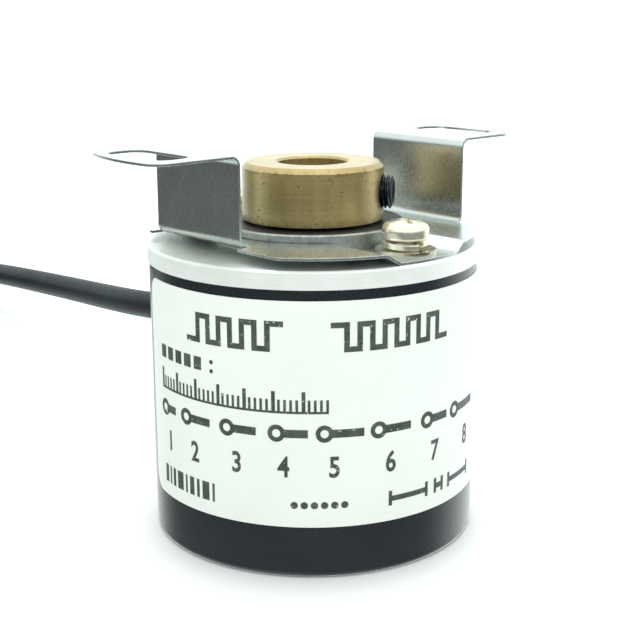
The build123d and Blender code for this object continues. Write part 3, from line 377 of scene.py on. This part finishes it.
def along_cable(reach, sideways, height):
    """A point given by its reach from the axis, its offset from the exit line and its height."""
    return Vector((reach * math.cos(CABLE_TURN) - sideways * math.sin(CABLE_TURN),
                   reach * math.sin(CABLE_TURN) + sideways * math.cos(CABLE_TURN), height))


def between(value, knots):
    """Straight-line value between (place, amount) pairs."""
    for (a, va), (b, vb) in zip(knots, knots[1:]):
        if value <= b:
            return va + (vb - va) * (value - a) / (b - a)
    return knots[-1][1]


def coil_points():
    """Three turns inwards on top, then out again underneath, each beside the last."""
    points = []
    for step in range(1, int(COIL_TURNS * STEPS_PER_TURN)):
        turn = step / STEPS_PER_TURN
        angle = 2 * math.pi * turn - math.pi / 2
        radius = between(turn, COIL_RADII) * COIL_SWELL * MM
        points.append(along_cable(COIL_CENTRE[0] + radius * math.cos(angle),
                                  COIL_CENTRE[1] + radius * math.sin(angle),
                                  between(turn, COIL_HEIGHTS) * MM))
    return points


def tube(name, points, radius, material):
    """A round cord along one smooth line through the given control points."""
    data = bpy.data.curves.new(name, "CURVE")
    data.dimensions = "3D"
    data.resolution_u = 8
    data.bevel_depth = radius
    data.bevel_resolution = 6
    data.use_fill_caps = True
    line = data.splines.new("NURBS")
    line.points.add(len(points) - 1)
    for point, place in zip(line.points, points):
        point.co = (*place, 1)
    line.order_u = 3
    line.use_endpoint_u = True
    data.materials.append(material)
    piece = bpy.data.objects.new(name, data)
    bpy.context.scene.collection.objects.link(piece)
    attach(piece, "stator")
    return piece


def loose(far, sideways, height):
    """A point on the leads, measured back from the end of the sleeve."""
    return along_cable(SLEEVE_END - far, LOOSE_SIDE + sideways, height)


def make_leads():
    """Eight insulated leads fanned out from the sleeve, each with a bare tinned end."""
    tinned = metal("tinned_copper", (0.62, 0.58, 0.5), (0.8, 0.78, 0.72), 0.25, None, 4200, 3e-6)
    made = []
    for number, (color, paint) in enumerate(LEAD_COLORS.items()):
        place = (number - 3.5) * MM
        across = (number % 4 - 1.5) * LEAD_PITCH
        lift = (1.5 + number // 4) * MM
        points = [loose(far, across, lift) for far in LEAD_START]
        points += [loose(far, place * fan, height) for far, fan, height in LEAD_FAN]
        bare, end = (loose(far, place * fan, height) for far, fan, height in LEAD_TIP)
        skin = moulded("lead_" + color, paint, tuple(min(1, c * 1.15) for c in paint), 0.38, 2600, 4e-6)
        made.append(tube("lead_" + color, points, LEAD_R, skin))
        made.append(tube("lead_tip_" + color, [bare, (bare + end) / 2, end], LEAD_TIP_R, tinned))
    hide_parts("cable_leads")
    return made


def make_cable():
    """The jacket from the body through the coil to the sleeve, and the leads beyond it."""
    points = [along_cable(*place) for place in CABLE_ROUTE] + coil_points()
    points += [along_cable(*place) for place in CABLE_TAIL]
    cable = tube("signal_cable", points, CABLE_R, MATERIALS["jacket_plastic"])
    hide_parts("cable", "cable_coil")
    leads = make_leads()


make_cable()


# ---- printing on the label --------------------------------------------------
LABEL_R = 18.93 * MM
INK_BELOW = 0.03 * MM
INK_ABOVE = 0.02 * MM
MARK_STEP = 0.8 * MM
DIGIT_HEIGHT = 0.73                    # height of a digit in the font, as a share of its size
DIGIT_WEIGHT = 0.030
DIGIT_WIDTH = 0.8

# Marks on the label, in millimetres: along it from the middle of the front, up from the rear face.
WAVES = ((-14.7, -3.4, 25.5, 28.2, 4, False), (2.1, 16.0, 25.5, 28.1, 5, True))
WAVE_STROKE = 0.6
ROW_LEFT = -20.5
BLOCK_COUNT, BLOCK_STEP, BLOCK_WIDTH, BLOCK_ROW = 5, 1.62, 1.1, (22.15, 23.6)
COLON_AT, COLON_HEIGHTS, COLON_R = -11.5, (23.3, 22.3), 0.24
RULER_RIGHT, RULER_ROW = 1.6, (18.6, 18.85)
TICK_COUNT, TICK_STEP, LONG_EVERY = 35, 0.642, 5
LONG_TICK, SHORT_TICK = (0.4, 21.0), (0.28, 20.1)
WIRE_MARKS = ((-20.9, -17.6), (-16.5, -11.9), (-10.6, -6.2), (-4.9, -0.6), (0.2, 5.4), (6.1, 11.0),
              (12.4, 16.6), (17.3, 23.4))
WIRE_EYE_R, WIRE_EYE_STROKE, WIRE_EYE_Z = 0.95, 0.5, 16.4
WIRE_BAR_FROM, WIRE_BAR_ROW = 1.8, (15.95, 16.85)
NUMERALS_AT = (-18.9, -14.2, -8.5, -3.2, 2.2, 8.5, 14.6, 21.2)
NUMERAL_Z, NUMERAL_HEIGHT = 11.6, 2.35
STRIPES, STRIPES_LEFT, STRIPE_GAP = (0.7, 0.3, 0.5, 1.1, 0.3, 0.7, 0.4, 1.0, 0.3), -20.4, 0.46
STRIPE_ROW = (7.5, 9.6)
DOT_COUNT, DOTS_LEFT, DOT_STEP, DOT_Z, DOT_R = 6, -2.1, 1.08, 8.4, 0.4
SPANS, SPAN_ROW = ((8.3, 13.6), (14.6, 16.2), (17.1, 22.3)), (8.1, 8.7)
SPAN_END, SPAN_END_ROW = 0.4, (7.6, 9.3)


def wrap(across, height, lift):
    """A point on the label: distance round it from the middle of the front, height, and lift off it."""
    angle = FACING + across / LABEL_R
    radius = LABEL_R + lift
    return (radius * math.cos(angle), radius * math.sin(angle), height)


class Print:
    """Thin marks on the label, gathered into one mesh. Sizes are in millimetres."""

    def __init__(self):
        self.points = []
        self.faces = []

    def bar(self, left, right, low, high):
        left, right, low, high = (v * MM for v in (left, right, low, high))
        columns = max(1, math.ceil((right - left) / MARK_STEP))
        start = len(self.points)
        for column in range(columns + 1):
            across = left + (right - left) * column / columns
            for height, lift in ((low, -INK_BELOW), (high, -INK_BELOW), (high, INK_ABOVE),
                                 (low, INK_ABOVE)):
                self.points.append(wrap(across, height, lift))
        for column in range(columns):
            a, b = start + 4 * column, start + 4 * column + 4
            for side in range(4):
                other = (side + 1) % 4
                self.faces.append((a + side, b + side, b + other, a + other))
        last = start + 4 * columns
        self.faces += [(start, start + 1, start + 2, start + 3), (last + 3, last + 2, last + 1, last)]

    def path(self, corners, stroke):
        """Upright and level strokes from corner to corner."""
        half = stroke / 2
        for (x0, z0), (x1, z1) in zip(corners, corners[1:]):
            self.bar(min(x0, x1) - half, max(x0, x1) + half, min(z0, z1) - half, max(z0, z1) + half)

    def wave(self, left, right, low, high, periods, stroke, start_high):
        """A square wave, as the two output channels are drawn."""
        step = (right - left) / (2 * periods)
        corners, up, place = [], start_high, left
        corners.append((place, high if up else low))
        for _ in range(2 * periods):
            place += step
            corners.append((place, high if up else low))
            up = not up
            corners.append((place, high if up else low))
        self.path(corners[:-1], stroke)

    def ring(self, centre, middle, radius, stroke, count=24):
        """A round mark, solid when the stroke is as wide as the radius."""
        inner = max(0.0, radius - stroke)
        start = len(self.points)
        for step in range(count):
            a = 2 * math.pi * step / count
            for r, lift in ((inner, -INK_BELOW), (radius, -INK_BELOW), (radius, INK_ABOVE),
                            (inner, INK_ABOVE)):
                self.points.append(wrap((centre + r * math.cos(a)) * MM,
                                        (middle + r * math.sin(a)) * MM, lift))
        for step in range(count):
            a, b = start + 4 * step, start + 4 * ((step + 1) % count)
            for side in range(4):
                other = (side + 1) % 4
                self.faces.append((b + side, a + side, a + other, b + other))

    def numeral(self, text, centre, low, height):
        """A numeral from Blender's own font, thickened and wrapped onto the label."""
        data = bpy.data.curves.new("numeral", "FONT")
        data.body = text
        data.align_x = "CENTER"
        data.size = height / DIGIT_HEIGHT
        data.offset = DIGIT_WEIGHT * height
        data.extrude = 0.5
        flat = bpy.data.objects.new("numeral", data)
        bpy.context.scene.collection.objects.link(flat)
        mesh = bpy.data.meshes.new_from_object(flat.evaluated_get(bpy.context.evaluated_depsgraph_get()))
        bpy.data.objects.remove(flat)
        start = len(self.points)
        for vertex in mesh.vertices:
            x, y, z = vertex.co
            lift = INK_ABOVE if z > 0 else -INK_BELOW
            self.points.append(wrap((centre + x * DIGIT_WIDTH) * MM, (low + y) * MM, lift))
        for polygon in mesh.polygons:
            self.faces.append(tuple(start + v for v in polygon.vertices))
        bpy.data.meshes.remove(mesh)

    def finish(self, name, material):
        mesh = bpy.data.meshes.new(name)
        mesh.from_pydata(self.points, [], self.faces)
        mesh.validate()
        mesh.materials.append(material)
        piece = bpy.data.objects.new(name, mesh)
        bpy.context.scene.collection.objects.link(piece)
        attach(piece, "stator")
        return piece


def make_print():
    """Generic marks on the label: waves, a ruler, wire symbols with their numbers, and patterns."""
    ink = Print()
    for left, right, low, high, periods, start_high in WAVES:
        ink.wave(left, right, low, high, periods, WAVE_STROKE, start_high)
    for number in range(BLOCK_COUNT):
        left = ROW_LEFT + BLOCK_STEP * number
        ink.bar(left, left + BLOCK_WIDTH, *BLOCK_ROW)
    for height in COLON_HEIGHTS:
        ink.ring(COLON_AT, height, COLON_R, COLON_R, 12)
    ink.bar(ROW_LEFT, RULER_RIGHT, *RULER_ROW)
    for tick in range(TICK_COUNT):
        left = ROW_LEFT + tick * TICK_STEP
        width, top = LONG_TICK if tick % LONG_EVERY == 0 else SHORT_TICK
        ink.bar(left, left + width, RULER_ROW[1], top)
    for left, right in WIRE_MARKS:
        ink.ring(left + WIRE_EYE_R, WIRE_EYE_Z, WIRE_EYE_R, WIRE_EYE_STROKE)
        ink.bar(left + WIRE_BAR_FROM, right, *WIRE_BAR_ROW)
    for number, centre in enumerate(NUMERALS_AT):
        ink.numeral(str(number + 1), centre, NUMERAL_Z, NUMERAL_HEIGHT)
    edge = STRIPES_LEFT
    for width in STRIPES:
        ink.bar(edge, edge + width, *STRIPE_ROW)
        edge += width + STRIPE_GAP
    for dot in range(DOT_COUNT):
        ink.ring(DOTS_LEFT + dot * DOT_STEP, DOT_Z, DOT_R, DOT_R, 16)
    for left, right in SPANS:
        ink.bar(left, right, *SPAN_ROW)
        ink.bar(left, left + SPAN_END, *SPAN_END_ROW)
        ink.bar(right - SPAN_END, right, *SPAN_END_ROW)
    ink.finish("label_print", print_ink())


make_print()


# ---- set screws with a real thread ------------------------------------------
SCREW_SIDES = 48
SCREW_INNER = 5.3 * MM
SCREW_OUTER = 9.3 * MM
SCREW_HEIGHT = 39.25 * MM
SCREW_CREST = 1.94 * MM
SCREW_ROOT = 1.62 * MM
SCREW_PITCH = 0.5 * MM
SOCKET_HALF = 1.0 * MM
SOCKET_DEEP = 1.7 * MM
SCREW_LEVELS = 96
END_TAPER = 0.30 * MM
END_DROP = 0.25 * MM
FLANK_SLOPE = 2.6
FLANK_FLAT = 0.12
SOCKET_RINGS = ((1.18, 0.0), (1.0, 0.12 * MM), (1.0, SOCKET_DEEP), (0.05, SOCKET_DEEP + 0.25 * MM))
SCREW_AZIMUTHS = (("a", -52.7), ("b", 37.3))


def hexagon(angle, half):
    """Distance from the middle to a hexagon's outline in that direction."""
    turn = math.radians(60)
    return half / math.cos((angle % turn) - turn / 2)


def make_thread(name, azimuth, material):
    """A grub screw along +X, made of rings of points and then turned to its azimuth."""
    rings = []
    length = SCREW_OUTER - SCREW_INNER
    depth_of_thread = SCREW_CREST - SCREW_ROOT
    for level in range(SCREW_LEVELS + 1):
        along = length * level / SCREW_LEVELS
        ends = min(1.0, min(along, length - along) / END_TAPER)
        ring = []
        for side in range(SCREW_SIDES):
            angle = 2 * math.pi * side / SCREW_SIDES
            phase = (along / SCREW_PITCH - angle / (2 * math.pi)) % 1.0
            flank = min(1.0, max(0.0, abs(phase - 0.5) * FLANK_SLOPE - FLANK_FLAT))
            crest = SCREW_CREST - depth_of_thread * flank
            radius = min(crest, SCREW_ROOT - END_DROP + (depth_of_thread + END_DROP) * ends)
            ring.append((SCREW_INNER + along, radius * math.cos(angle), radius * math.sin(angle)))
        rings.append(ring)
    for scale, depth in SOCKET_RINGS:
        ring = []
        for side in range(SCREW_SIDES):
            angle = 2 * math.pi * side / SCREW_SIDES
            radius = hexagon(angle, SOCKET_HALF) * scale
            ring.append((SCREW_OUTER - depth, radius * math.cos(angle), radius * math.sin(angle)))
        rings.append(ring)
    points = [point for ring in rings for point in ring]
    faces = []
    for level in range(len(rings) - 1):
        for side in range(SCREW_SIDES):
            after = (side + 1) % SCREW_SIDES
            a, b = level * SCREW_SIDES, (level + 1) * SCREW_SIDES
            faces.append((a + side, a + after, b + after, b + side))
    faces.append(tuple(reversed(range(SCREW_SIDES))))
    faces.append(tuple(range((len(rings) - 1) * SCREW_SIDES, len(rings) * SCREW_SIDES)))
    mesh = bpy.data.meshes.new(name)
    mesh.from_pydata(points, [], faces)
    turn = Matrix.Rotation(math.radians(azimuth), 4, "Z")
    mesh.transform(Matrix.Translation((0, 0, SCREW_HEIGHT)) @ turn)
    mesh.validate()
    mesh.shade_smooth()
    mesh.set_sharp_from_angle(angle=math.radians(38))
    mesh.materials.append(material)
    piece = bpy.data.objects.new(name, mesh)
    bpy.context.scene.collection.objects.link(piece)
    return piece


for letter, azimuth in SCREW_AZIMUTHS:
    grub = make_thread("grub_screw_" + letter, azimuth, MATERIALS["black_steel"])
    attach(grub, "set_screw_" + letter)
    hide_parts("set_screw_" + letter)


# ---- split lock washers under the spring screws ------------------------------
WASHER_INNER = 1.38 * MM
WASHER_OUTER = 2.42 * MM
WASHER_THICK = 0.72 * MM
WASHER_GAP_AT = math.radians(-93)
WASHER_GAP = math.radians(15)
WASHER_EDGE = 0.14 * MM
WASHER_STEPS = 72
WASHER_AT = 14.6 * MM                  # distance of the spring screws from the shaft axis


def make_split_washer(name, node, turn, screw_y):
    """A helical spring washer: its ends stand a little apart at the gap."""
    low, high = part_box(node)
    rise = high.z - low.z - WASHER_THICK
    section = [(WASHER_INNER, WASHER_EDGE), (WASHER_INNER + WASHER_EDGE, 0),
               (WASHER_OUTER - WASHER_EDGE, 0),
               (WASHER_OUTER, WASHER_EDGE), (WASHER_OUTER, WASHER_THICK - WASHER_EDGE),
               (WASHER_OUTER - WASHER_EDGE, WASHER_THICK), (WASHER_INNER + WASHER_EDGE, WASHER_THICK),
               (WASHER_INNER, WASHER_THICK - WASHER_EDGE)]
    points = []
    for step in range(WASHER_STEPS + 1):
        share = step / WASHER_STEPS
        angle = WASHER_GAP_AT + turn + WASHER_GAP / 2 + share * (2 * math.pi - WASHER_GAP)
        for radius, height in section:
            points.append((radius * math.cos(angle), screw_y + radius * math.sin(angle),
                           low.z + rise * (1 - share) + height))
    count = len(section)
    last = WASHER_STEPS * count
    faces = [tuple(range(count)), tuple(reversed(range(last, last + count)))]
    for step in range(WASHER_STEPS):
        for side in range(count):
            after = (side + 1) % count
            a, b = step * count, (step + 1) * count
            faces.append((a + side, b + side, b + after, a + after))
    mesh = bpy.data.meshes.new(name)
    mesh.from_pydata(points, [], faces)
    mesh.validate()
    mesh.shade_smooth()
    mesh.set_sharp_from_angle(angle=math.radians(30))
    mesh.materials.append(MATERIALS["plated_steel"])
    piece = bpy.data.objects.new(name, mesh)
    bpy.context.scene.collection.objects.link(piece)
    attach(piece, "stator")
    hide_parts(node)


for end, turn, screw_y in (("front", 0.0, -WASHER_AT), ("rear", math.pi, WASHER_AT)):
    make_split_washer("split_washer_" + end, "lock_washer_" + end, turn, screw_y)


# ---- floor, surroundings and lights -----------------------------------------
FLOOR_HALF = 8.0
FLOOR_Z = -0.00005
DIM_TOWARD = -15                       # the dim part of the room, in degrees round from the front
DIM_LIGHT = 0.14
BACK_LIGHT = 1.9
TOP_LIGHT = 1.3
TABLE_LIGHT = 0.9
BACKDROP_LIGHT = 1.15
ROOM_TINT = (0.94, 1.0, 0.99, 1)
FADE_ROUND = (-0.90, -0.15)            # where each part of the room fades, by the ray's direction
FADE_UP = (-0.02, 0.32)
FADE_TABLE = (-0.62, -0.30)
LIGHT_DISTANCE = 0.9


def make_floor():
    s = Shader("pale_floor", Roughness=0.6)
    s.color(s.mix(s.spread(s.noise(s.place(), 6, 3), 0, 1), (0.90, 0.90, 0.90), (0.93, 0.93, 0.93)))
    half = FLOOR_HALF
    mesh = bpy.data.meshes.new("floor")
    mesh.from_pydata([(-half, -half, 0), (half, -half, 0), (half, half, 0), (-half, half, 0)], [],
                     [(0, 1, 2, 3)])
    mesh.materials.append(s.material)
    floor = bpy.data.objects.new("floor", mesh)
    bpy.context.scene.collection.objects.link(floor)
    floor.location.z = FLOOR_Z
    floor.visible_glossy = False


def make_world():
    """A white room: bright overhead, behind and on the table near by, dim on the side of the front."""
    world = bpy.data.worlds.new("studio")
    bpy.context.scene.world = world
    world.use_nodes = True
    tree = world.node_tree
    tree.nodes.clear()

    def add(kind, settings=None, **inputs):
        return add_node(tree, kind, settings, **inputs)

    def smooth(value, low, high, out_low, out_high):
        return add("ShaderNodeMapRange", {"interpolation_type": "SMOOTHSTEP"}, Value=value,
                   From_Min=low, From_Max=high, To_Min=out_low, To_Max=out_high).outputs[0]

    direction = add("ShaderNodeTexCoord").outputs["Generated"]
    angle = FACING + math.radians(DIM_TOWARD)
    toward = add("ShaderNodeVectorMath", {"operation": "DOT_PRODUCT"}, i0=direction,
                 i1=(math.cos(angle), math.sin(angle), 0)).outputs["Value"]
    up = add("ShaderNodeSeparateXYZ", None, Vector=direction).outputs["Z"]
    level = smooth(toward, *FADE_ROUND, BACK_LIGHT, DIM_LIGHT)
    above = smooth(up, *FADE_UP, 0.0, 1.0)
    mixed = add("ShaderNodeMix", {"data_type": "FLOAT"}, i0=above, i2=level, i3=TOP_LIGHT).outputs[0]
    table = smooth(up, *FADE_TABLE, TABLE_LIGHT, 0.0)
    total = add("ShaderNodeMath", {"operation": "ADD"}, i0=mixed, i1=table).outputs[0]
    room = add("ShaderNodeBackground", None, Color=ROOM_TINT, Strength=total)
    white = add("ShaderNodeBackground", None, Color=(1, 1, 1, 1), Strength=BACKDROP_LIGHT)
    seen = add("ShaderNodeLightPath").outputs["Is Camera Ray"]
    both = add("ShaderNodeMixShader", None, i0=seen, i1=room.outputs[0], i2=white.outputs[0])
    tree.links.new(both.outputs[0], add("ShaderNodeOutputWorld").inputs["Surface"])


def make_light(name, azimuth, elevation, size, power, glossy=True):
    """A soft square light that faces the collar from that direction round the front."""
    data = bpy.data.lights.new(name, "AREA")
    data.size = size
    data.energy = power
    light = bpy.data.objects.new(name, data)
    bpy.context.scene.collection.objects.link(light)
    a, e = FACING + math.radians(azimuth), math.radians(elevation)
    toward = Vector((math.cos(a) * math.cos(e), math.sin(a) * math.cos(e), math.sin(e)))
    light.location = Vector((0, 0, 30 * MM)) + toward * LIGHT_DISTANCE
    light.rotation_euler = toward.to_track_quat("Z", "Y").to_euler()
    light.visible_camera = False
    light.visible_glossy = glossy


make_floor()
make_world()
make_light("overhead", 180, 68, 0.7, 4.0)
make_light("right_fill", 70, 30, 0.5, 0.5, glossy=False)
make_light("front_fill", -5, 24, 0.6, 0.5, glossy=False)
bpy.context.scene.view_settings.view_transform = "Standard"
